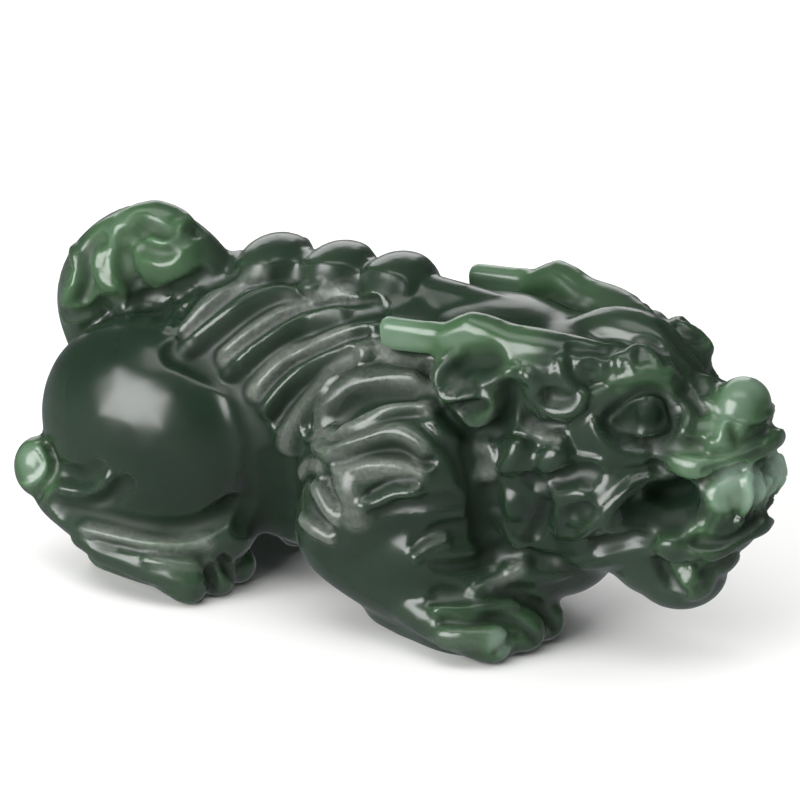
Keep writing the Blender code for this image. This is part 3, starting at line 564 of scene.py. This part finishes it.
def carve_ears(stone):
    stone.ridge(1.2, 0.8, (13.5, -13.5, 40.5), (12, -13.5, 39), (11, -13.5, 37), (11.5, -13.5, 35),
                (12.5, -13.5, 33.5), (14, -13.5, 32), (15.5, -13.5, 31.5), (17.5, -13.5, 32),
                (19, -14, 33.5), (19.5, -14, 35), (18.5, -14, 36), (16.5, -14, 35.5), (14, -14, 34.5),
                (12.5, -13.5, 34.5))
    stone.groove(2.2, 3.0, (13.5, -14, 38.5), (15.5, -14, 39.5), (18, -13.5, 40))
    stone.groove(1.3, 1.9, (14, -14, 36.5), (16, -14, 36.5))
    stone.ridge(1.0, 1.2, (17, -14, 37), (19, -14, 38.5), (21.5, -13.5, 39.5))
    stone.groove(1.6, 1.5, (14.5, -14, 33.5), (17, -14, 34.5))
    stone.ridge(0.8, 0.9, (17, -14, 32.5), (18, -14, 33.5))
    stone.groove(1.8, 1.8, (21, -13.5, 37), (21, -13.5, 34.5), (19.5, -13, 31.5), (16.5, -13, 30),
                 (14.5, -14, 30.5), (12, -14, 32.5))
    stone.groove(1.2, 1.6, (7.5, -10, 36), (9.5, -13, 34.5), (12, -14.5, 32), (14, -14.5, 30))


def carve_temples(stone):
    stone.ridge(0.8, 1.2, (27, -11, 41), (27.5, -11.5, 39.5), (28.5, -11.5, 38))
    stone.ridge(0.9, 1.1, (24, -12.5, 37), (25, -12, 35), (27, -11.5, 34.5), (29, -11.5, 35.5),
                (30, -10.5, 37))
    stone.groove(1.0, 1.6, (26.5, -12, 36.5), (28.5, -12, 36.5))
    stone.ridge(0.6, 0.8, (29, -10, 41), (30, -9, 41.5), (31.5, -8.5, 41), (31.5, -8.5, 39.5),
                (30, -9, 38.5), (29, -10, 39.5), (29, -10, 41))
    stone.ridge(0.5, 0.7, (30, -9.5, 40.5), (30.5, -9, 40.5))
    stone.ridge(0.7, 0.9, (33.5, -7.5, 41.5), (34, -8, 40.5))
    stone.ridge(0.7, 0.9, (37, -6.5, 40.5), (36, -7.5, 40), (35, -7.5, 41), (34.5, -7, 42), (35, -5, 42.5),
                (37, -5.5, 42), (38, -6, 41))
    stone.ridge(0.5, 0.8, (35.5, -7.5, 40.5), (37.5, -7, 40), (39.5, -4.5, 39.5))
    stone.groove(0.6, 1.2, (28, -9.5, 42.5), (31.5, -7.5, 42), (33, -4.5, 42.5), (36, -3, 42),
                 (38.5, -4.5, 41))
    stone.groove(0.9, 1.3, (22, -13.5, 36.5), (22.5, -13, 34), (24, -11, 32), (27, -11, 32.5))
    stone.ridge(0.8, 1.3, (23.5, -13, 39), (24.5, -13, 38), (24, -12.5, 36.5))


def carve_eyes(stone):
    stone.ridge(0.8, 1.3, (27, -11, 33.5), (29.5, -11, 35.5), (31.5, -9, 37), (34.5, -8, 39),
                (37.5, -7, 40), (39.5, -5, 39.5), (40.5, -3.5, 37), (42, -5, 35), (42.5, -7, 33))
    stone.ridge(0.5, 1.2, (31.5, -10.5, 33), (33, -10, 30.5), (36, -9, 29), (39, -7.5, 29.5),
                (42.5, -7.5, 32))
    stone.groove(1.9, 3.0, (35, -9.5, 34), (36.5, -9.5, 35), (38.5, -8.5, 35), (39, -8, 35))
    stone.groove(1.7, 0.9, (32.5, -10, 34), (34, -9, 36), (35.5, -8.5, 37.5), (37.5, -7.5, 38),
                 (39.5, -6.5, 37.5), (40.5, -6.5, 36), (41, -7, 34), (40, -7.5, 32), (37.5, -8.5, 31),
                 (35, -9.5, 31.5), (33, -10, 33), (32.5, -10, 34))
    stone.ridge(1.2, 2.2, (38, -9, 35), (38.5, -8.5, 35))
    stone.groove(0.8, 0.7, (36.5, -9, 35.5), (37, -9, 36.5), (38, -8, 37), (39, -8, 36.5), (39.5, -8, 35.5),
                 (39.5, -8, 34), (38, -9, 33.5), (37, -9, 34), (36.5, -9, 35.5))
    stone.ridge(0.9, 0.8, (38, -8.5, 35.5), (38.5, -8.5, 35.5))


def carve_muzzle(stone):
    stone.groove(0.7, 1.1, (36, 0, 44), (38.5, 0.5, 41.5), (40.5, -0.5, 39), (42.5, -2.5, 37))
    stone.groove(0.8, 1.3, (40, -4.5, 39), (41, -3.5, 36.5), (43.5, -4.5, 35.5))
    stone.ridge(0.6, 1.4, (41, -3, 36.5), (42, -0.5, 38))
    stone.ridge(0.9, 1.2, (46, -6.5, 32), (47, -6, 32.5), (47.5, -5, 34.5))
    stone.groove(0.9, 0.9, (48, -5, 34), (49, -5, 32.5), (50, -4, 32.5), (51, -1, 33))
    stone.ridge(0.6, 0.8, (48.5, -4.5, 34), (49.5, -3, 34.5), (50.5, -0.5, 34.5))
    stone.groove(0.8, 1.0, (46.5, -7, 31), (49, -6, 31.5), (51, -3, 32.5))
    stone.groove(0.7, 0.8, (46, -8, 29), (49, -6, 30), (51.5, -3.5, 31))
    stone.groove(0.9, 1.4, (38.5, -8, 30.5), (42, -7.5, 31.5), (45, -7, 31.5))
    stone.groove(0.9, 1.2, (38.5, -7.5, 28.5), (39.5, -7, 27), (42, -7.5, 26.5))


def carve_mouth(stone):
    stone.groove(4.2, 3.0, (40, -7.5, 24), (42, -7.5, 24.5))
    stone.groove(1.8, 2.8, (37.5, -9, 22), (40, -7.5, 21.5), (42, -7.5, 22))
    stone.groove(1.1, 1.0, (45, -7, 27), (47.5, -6, 28.5), (49.5, -4.5, 29.5))
    stone.ridge(0.8, 0.8, (50, -4.5, 27.5), (50.5, -4.5, 25.5), (49.5, -4, 23), (49, -4, 21.5))
    stone.groove(1.2, 1.0, (50.5, -2.5, 28), (51, -3, 26), (50.5, -3, 23.5), (50, -3, 21.5))
    stone.ridge(0.5, 0.6, (46, -7, 25), (46, -6, 23), (45, -6.5, 20.5))
    stone.ridge(0.5, 0.6, (47, -7, 25), (47, -5.5, 22.5), (46, -6, 20))
    stone.ridge(0.5, 0.6, (48, -6.5, 25), (47.5, -4.5, 22), (46.5, -5.5, 20.5))
    stone.groove(0.8, 0.7, (50.5, 0.5, 28), (51, -1, 26.5), (50.5, 0, 23.5))
    stone.groove(1.2, 1.2, (44.5, -7, 19), (47.5, -6, 19), (49.5, -4, 20), (50.5, -1.5, 21.5))
    stone.groove(0.8, 1.0, (44.5, -4.5, 14), (45.5, -3, 14.5), (47, -1.5, 15.5))


def carve_cheeks(stone):
    stone.ridge(1.0, 1.4, (20, -13, 26), (21.5, -13.5, 27.5), (22, -13, 29.5))
    stone.ridge(1.0, 2.0, (25.5, -12.5, 27.5), (27, -12, 29))
    crest = ((17.5, -12.5, 28), (18.5, -12.5, 26.5), (18, -13, 24.5))
    stone.ridge(1.2, 1.4, *crest)
    stone.frost_and_sheen(0.24, 1.3, *crest)
    stone.ridge(0.8, 1.4, (23, -11.5, 31.5), (25, -11, 30.5), (27, -11, 30.5))
    stone.frost_and_sheen(0.29, 1.3, (23, -11.5, 31.5), (25, -11, 30.5), (26.5, -11, 30.5))
    stone.ridge(0.6, 0.9, (33.5, -10, 29.5), (33, -10, 28))
    stone.ridge(0.5, 0.9, (30, -10.5, 28.5), (34.5, -9.5, 28.5), (39, -7.5, 29))
    stone.ridge(0.9, 1.2, (33.5, -10.5, 20), (34, -11, 22.5), (36, -9.5, 25), (37, -8.5, 26),
                (39.5, -7.5, 26.5))
    stone.ridge(0.7, 1.1, (26, -9, 17), (26.5, -10.5, 20.5), (28.5, -11.5, 23), (31, -11.5, 24))
    stone.ridge(0.8, 1.0, (26.5, -9, 17), (29.5, -9.5, 18), (32.5, -11.5, 21))
    stone.groove(0.9, 1.9, (29, -11, 21), (31, -11.5, 22))
    stone.groove(0.8, 2.2, (27, -11, 25.5), (29, -11, 26), (31, -10.5, 26.5))
    stone.ridge(0.8, 1.6, (25, -11, 23), (27.5, -11, 23.5), (30, -11.5, 24.5))
    stone.ridge(0.9, 1.9, (19.5, -10, 10.5), (22, -8.5, 10.5), (24.5, -6.5, 11), (29.5, -6.5, 13),
                (34, -7, 15), (37.5, -7, 16.5), (41.5, -8, 18.5))
    stone.groove(0.9, 1.8, (31, -8, 16), (35, -8.5, 18), (38, -7.5, 19))
    stone.ridge(0.6, 1.3, (34, -10, 19.5), (36.5, -8.5, 19.5), (38.5, -7.5, 18.5))
    stone.ridge(0.6, 1.3, (37.5, -9, 23.5), (39, -8, 25))
    stone.groove(0.8, 1.5, (23, -12, 25), (25, -11, 23), (24.5, -10.5, 19.5), (22.5, -9.5, 16.5))


def carve_beard(stone):
    stone.groove(1.0, 1.2, (39, -6.5, 15), (40, -6, 12.5), (42, -6, 11))
    stone.ridge(0.6, 0.8, (39.5, -6.5, 15.5), (41.5, -8, 16.5), (42.5, -5.5, 15), (43.5, -5, 14))
    stone.groove(0.5, 0.9, (45, -7, 16.5), (44.5, -4.5, 13), (44, -5.5, 12))


def pale_ends_and_painted_light(stone):
    # Paler stone at the thin ends and the horns, with painted glow for the light through them; painted
    # highlights and painted shade where marked below
    stone.pale(0.3, 4, (-48, -18, 16), (-46.5, -18.5, 14))
    # painted highlight on the outer front toe
    stone.pale(0.35, 3.0, (21.5, -16, 3.5), (21.5, -14, 2))
    stone.pale(0.12, 5, (2.5, -13, 41.5), (9, -13, 42))
    # painted highlight along the brow band over the eye
    stone.pale(0.12, 3, (31.5, -9, 37), (36.5, -7.5, 39.5), (39.5, -5.5, 39))
    stone.pale(0.3, 3, (45, -7, 24.5), (44.5, -6.5, 21))
    # painted highlight on the nose
    stone.pale(0.34, 5, (48, -2.5, 37.5), (47.5, -5, 34.5))
    # painted highlight on the corner of the lip
    stone.pale(0.3, 4, (44, -8.5, 29.5), (47.5, -7, 29))
    stone.pale(0.4, 4.5, (48.5, -6, 25), (50, -4.5, 27))
    stone.pale(0.5, 3.5, (51, -2, 26.5), (51, -2, 24.5))
    stone.pale(0.15, 4.0, (43, -6, 13.5), (45.5, -4, 15.5))
    # darker along the lower lip
    stone.pale(-0.12, 5, (49, -5, 18.5), (50, -3.5, 20.5))
    stone.pale(0.25, 5, (15, -13, 41.5), (21.5, -12, 42.5))
    stone.pale(0.25, 7, (-42, -6.5, 45), (-37, -7.5, 45), (-33, -8, 45), both=False)
    stone.pale(0.15, 5, (-46, -8.5, 36.5), (-41, -9, 38.5), both=False)
    # painted shade in the eye's hollow
    stone.pale(-0.5, 3.4, (35, -9.5, 34.5), (38, -9, 35), (39.5, -8, 35))
    # painted shade in the mouth
    stone.pale(-0.6, 4, (37.5, -9, 23), (40, -7.5, 23), (43.5, -7.5, 24))


def shaped():
    """The whole beast as one skin, carved, in millimetres."""
    clay = Clay()
    for mass in (trunk, hindquarters, forequarters, neck_and_skull):
        mass(clay)
    clay = Clay(skin(clay.mesh(), BODY_VOXEL, BODY_SMOOTH))
    for form in (spine, tail, hind_feet, front_feet, brow_and_horns, ears, eyes, muzzle, jaw, cheeks):
        form(clay)
    stone = Stone(skin(clay.mesh(), FORM_VOXEL, FORM_SMOOTH))
    for carve in (carve_spine, carve_ribs, carve_wings, carve_forelegs, carve_mane, carve_hind_legs,
                  carve_haunches, carve_tail, carve_ears, carve_temples, carve_eyes, carve_muzzle,
                  carve_mouth, carve_cheeks, carve_beard, pale_ends_and_painted_light):
        carve(stone)
    return softened(stone.carved(), LAST_SMOOTH)


def level_soles(mesh):
    """Cuts the feet flat at z = 0 and closes the cuts."""
    bm = bmesh.new()
    bm.from_mesh(mesh)
    geometry = bm.verts[:] + bm.edges[:] + bm.faces[:]
    cut = bmesh.ops.bisect_plane(bm, geom=geometry, plane_co=(0, 0, 0), plane_no=(0, 0, -1),
                                 clear_outer=True)
    rim = [item for item in cut['geom_cut'] if isinstance(item, bmesh.types.BMEdge)]
    bmesh.ops.holes_fill(bm, edges=rim, sides=0)
    bm.to_mesh(mesh)
    bm.free()


def centred(mesh):
    """In metres, with the origin under the middle of the bounds."""
    co = vectors(mesh.vertices, 'co')
    middle = (co.min(0) + co.max(0)) / 2
    mesh.transform(Matrix.Scale(MM, 4) @ Matrix.Translation((-middle[0], -middle[1], 0)))
    return mesh


# Thinness: what the material reads from the shape

# Light is lost in this many millimetres of stone
THICK = 24
# Rays into the stone: their slants from straight in, how deep they start, and a direction to turn them from
RAY_TILTS = (0, 0.6, 0.6, 0.6, 1.3, 1.3, 1.3)
RAY_START = 0.05
RAY_SKEW = (0.3, 0.5, 0.81)
THIN_BLUR = 40


def depth_behind(mesh):
    """Thickness of stone behind each vertex as a part of THICK, the mean of several directions."""
    co = vectors(mesh.vertices, 'co') / MM
    normal = vectors(mesh.vertex_normals, 'vector')
    faces = [tuple(p.vertices) for p in mesh.polygons]
    tree = BVHTree.FromPolygons([tuple(v) for v in co], faces)
    side = np.cross(normal, RAY_SKEW)
    side /= np.linalg.norm(side, axis=1)[:, None]
    depth = np.zeros(len(co))
    for k, tilt in enumerate(RAY_TILTS):
        turn = k * 2 * math.pi / 3 + tilt
        across = side * math.cos(turn) + np.cross(normal, side) * math.sin(turn)
        for i, ray in enumerate(-normal + across * tilt):
            hit = tree.ray_cast(Vector(co[i] - normal[i] * RAY_START), Vector(ray), THICK)[3]
            depth[i] += 1 if hit is None else hit / THICK
    return depth / len(RAY_TILTS)


# Materials

# Size in millimetres of the stone's clouding, and of the specks in the ground grooves
CLOUD_SIZE = 11.1
SPECK_SIZE = 0.667
# How far clouding, thinness and a groove's depth move the stone along its row of colours; thinness paints the
# glow of light through thin stone, and depth paints shade into the grooves
CLOUD_SHARE = 0.14
THIN_SHARE = 0.6
SUNK_PAINTED_SHADE = -0.12


def linear(hex_colour):
    """sRGB hex as linear RGBA."""
    srgb = [int(hex_colour[i:i + 2], 16) / 255 for i in (1, 3, 5)]
    return (*(c / 12.92 if c <= 0.04045 else ((c + 0.055) / 1.055) ** 2.4 for c in srgb), 1)


def node(tree, kind, links=(), **settings):
    """Adds a node; links are (own input, socket that feeds it)."""
    made = tree.nodes.new('ShaderNode' + kind)
    for name, value in settings.items():
        if hasattr(made, name):
            setattr(made, name, value)
        else:
            made.inputs[name.replace('_', ' ')].default_value = value
    for name, source in links:
        tree.links.new(source, made.inputs[name])
    return made


def ramp(tree, fac, *stops):
    made = node(tree, 'ValToRGB', [('Fac', fac)])
    elements = made.color_ramp.elements
    while len(elements) < len(stops):
        elements.new(0.5)
    for element, (place, colour) in zip(elements, stops):
        element.position = place
        element.color = colour
    return made.outputs['Color']


def nephrite():
    # Nephrite jade, ground with small wheels and then polished by hand with fine paste. The polish is waxy,
    # with soft edged highlights on the crests, and duller in the grooves that the felt doesn't reach; the
    # grooves are also painted darker the deeper they are, as painted shade. The stone is dark green with
    # faint clouds, and painted paler where it is thin, for the glow of light that comes through it.
    material = bpy.data.materials.new('polished_nephrite')
    material.use_nodes = True
    tree = material.node_tree
    surface = tree.nodes['Principled BSDF']
    thin, sunk, tint_and_painted_light, frost_and_sheen = (node(tree, 'Attribute', attribute_name=name).outputs['Fac']
                               for name in ('thin', 'sunk', 'tint_and_painted_light', 'frost_and_sheen'))
    place = node(tree, 'TexCoord').outputs['Object']
    cloud = node(tree, 'TexNoise', [('Vector', place)], Scale=1 / (CLOUD_SIZE * MM), Detail=3,
                 Roughness=0.55).outputs['Fac']
    # adds the strokes' paler stone, painted highlights and painted shade
    clouded = node(tree, 'Math', [(0, cloud), (2, tint_and_painted_light)], operation='MULTIPLY_ADD')
    clouded.inputs[1].default_value = CLOUD_SHARE
    # painted glow: paler where the stone is thin
    pale = node(tree, 'Math', [(0, thin), (2, clouded.outputs['Value'])], operation='MULTIPLY_ADD')
    pale.inputs[1].default_value = THIN_SHARE
    # painted shade: the deeper a groove, the darker its colour
    shade = node(tree, 'Math', [(0, sunk), (2, pale.outputs['Value'])], operation='MULTIPLY_ADD')
    shade.inputs[1].default_value = SUNK_PAINTED_SHADE
    colour = ramp(tree, shade.outputs['Value'], (0.05, linear('#152519')), (0.3, linear('#2a3a2b')),
                  (0.58, linear('#3c573b')), (1, linear('#84998a')))
    # The wheel's scratches are finer than a hair; the specks are drawn coarser, so that they show
    speck = node(tree, 'TexNoise', [('Vector', place)], Scale=1 / (SPECK_SIZE * MM), Detail=2,
                 Roughness=0.7).outputs['Fac']
    ground = node(tree, 'MapRange', [('Value', speck)], From_Min=0.35, From_Max=0.62, To_Min=0.5, To_Max=1)
    scratches_and_sheen = node(tree, 'Math', [(0, frost_and_sheen), (1, ground.outputs['Result'])], operation='MULTIPLY')
    mixed = node(tree, 'Mix', [('Factor', scratches_and_sheen.outputs['Value']), ('A', colour)], data_type='RGBA')
    # speckled pale grey of frosted stone: the ground stone's own colour, and a painted highlight for the
    # sheen of light on it
    mixed.inputs['B'].default_value = linear('#989b96')
    tree.links.new(mixed.outputs['Result'], surface.inputs['Base Color'])
    # A groove is rougher the deeper it is, and so is frosted stone; the shine falls with the depth alone
    matt = node(tree, 'Math', [(0, sunk), (1, frost_and_sheen)], operation='MAXIMUM')
    rough = node(tree, 'MapRange', [('Value', matt.outputs['Value'])], From_Min=0.1, From_Max=1.2,
                 To_Min=0.24, To_Max=0.6)
    tree.links.new(rough.outputs['Result'], surface.inputs['Roughness'])
    shine = node(tree, 'MapRange', [('Value', sunk)], From_Min=0.6, From_Max=2, To_Min=0.5, To_Max=0.08)
    tree.links.new(shine.outputs['Result'], surface.inputs['Specular IOR Level'])
    surface.inputs['IOR'].default_value = 1.61
    surface.inputs['Subsurface Weight'].default_value = 0.4
    surface.inputs['Subsurface Radius'].default_value = (0.5, 1.0, 0.5)
    surface.inputs['Subsurface Scale'].default_value = 2.5 * MM
    return material


def pale_floor():
    # Uncoated white paper, pressed smooth and left unglazed: pale and quite without shine
    material = bpy.data.materials.new('matte_paper')
    material.use_nodes = True
    surface = material.node_tree.nodes['Principled BSDF']
    surface.inputs['Base Color'].default_value = linear('#f4f4f2')
    surface.inputs['Roughness'].default_value = 0.9
    return material


# Scene

FLOOR_REACH = 3
LAMPS_AIM = Vector((0, 0, 25 * MM))
CAMERA_AZIMUTH = 30
CAMERA_ELEVATION = 20.5
CAMERA_DISTANCE = 0.9
CAMERA_AIM = Vector((-2.6 * MM, 0, 26.8 * MM))
VIEW_WIDTH = 0.103
# The room's light by the height of the direction that it comes from: up to LOW it is one strength, from HIGH
# on it is the other
LOW, LOW_STRENGTH = -0.2, 0.5
HIGH, HIGH_STRENGTH = 0.1, 0.16


def add_figure():
    mesh = shaped()
    level_soles(mesh)
    mesh = centred(mesh)
    # painted glow: thin stone is painted paler, for the light that comes through it
    add_values(mesh, 'thin', 1 - blurred(mesh, depth_behind(mesh), THIN_BLUR))
    mesh.name = 'carved_beast'
    mesh.materials.clear()
    mesh.materials.append(nephrite())
    mesh.shade_smooth()
    figure = bpy.data.objects.new('carved_beast', mesh)
    bpy.context.scene.collection.objects.link(figure)
    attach(figure, 'root')
    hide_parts('carved_stone')


def add_floor():
    bm = bmesh.new()
    bmesh.ops.create_grid(bm, x_segments=1, y_segments=1, size=FLOOR_REACH)
    mesh = bpy.data.meshes.new('floor')
    bm.to_mesh(mesh)
    bm.free()
    mesh.materials.append(pale_floor())
    floor = bpy.data.objects.new('floor', mesh)
    floor.visible_glossy = False
    bpy.context.scene.collection.objects.link(floor)


def direction(azimuth, elevation):
    """Unit vector to that side, in degrees, with azimuth 0 square to the beast's right side."""
    a, e = math.radians(azimuth), math.radians(elevation)
    return Vector((math.sin(a) * math.cos(e), -math.cos(a) * math.cos(e), math.sin(e)))


def add_softbox(name, azimuth, elevation, distance, width, height, radiance, in_gloss=True):
    """A flat lamp that faces the figure; without in_gloss its shape isn't seen in the polish."""
    light = bpy.data.lights.new(name, 'AREA')
    light.shape = 'RECTANGLE'
    light.size = width
    light.size_y = height
    light.energy = radiance * math.pi * width * height
    lamp = bpy.data.objects.new(name, light)
    lamp.location = direction(azimuth, elevation) * distance + LAMPS_AIM
    lamp.rotation_euler = direction(azimuth, elevation).to_track_quat('Z', 'Y').to_euler()
    lamp.visible_glossy = in_gloss
    bpy.context.scene.collection.objects.link(lamp)


def add_camera():
    camera = bpy.data.cameras.new('camera')
    camera.lens = camera.sensor_width * CAMERA_DISTANCE / VIEW_WIDTH
    camera.clip_start = 0.01
    holder = bpy.data.objects.new('camera', camera)
    away = direction(CAMERA_AZIMUTH, CAMERA_ELEVATION)
    holder.location = CAMERA_AIM + away * CAMERA_DISTANCE
    holder.rotation_euler = away.to_track_quat('Z', 'Y').to_euler()
    bpy.context.scene.collection.objects.link(holder)
    bpy.context.scene.camera = holder


def add_surroundings():
    """A grey room that glows more from low down, where the floor would throw light back."""
    world = bpy.data.worlds.new('studio')
    world.use_nodes = True
    tree = world.node_tree
    background = tree.nodes['Background']
    background.inputs['Color'].default_value = linear('#c8ccd0')
    around = node(tree, 'TexCoord').outputs['Generated']
    height = node(tree, 'SeparateXYZ', [('Vector', around)]).outputs['Z']
    strength = node(tree, 'MapRange', [('Value', height)], From_Min=LOW, From_Max=HIGH, To_Min=LOW_STRENGTH,
                    To_Max=HIGH_STRENGTH)
    tree.links.new(strength.outputs['Result'], background.inputs['Strength'])
    bpy.context.scene.world = world
    bpy.context.scene.view_settings.view_transform = 'Standard'


add_figure()
add_floor()
add_softbox('window', azimuth=-18, elevation=18.5, distance=0.6, width=0.5, height=0.38, radiance=7.5)
add_softbox('overhead', azimuth=14, elevation=70, distance=0.6, width=0.6, height=0.26, radiance=2)
add_softbox('back', azimuth=-142, elevation=24, distance=0.6, width=0.5, height=0.35, radiance=2)
add_softbox('ceiling', azimuth=0, elevation=89, distance=1.2, width=2.2, height=2.2, radiance=1.45,
            in_gloss=False)
add_camera()
add_surroundings()
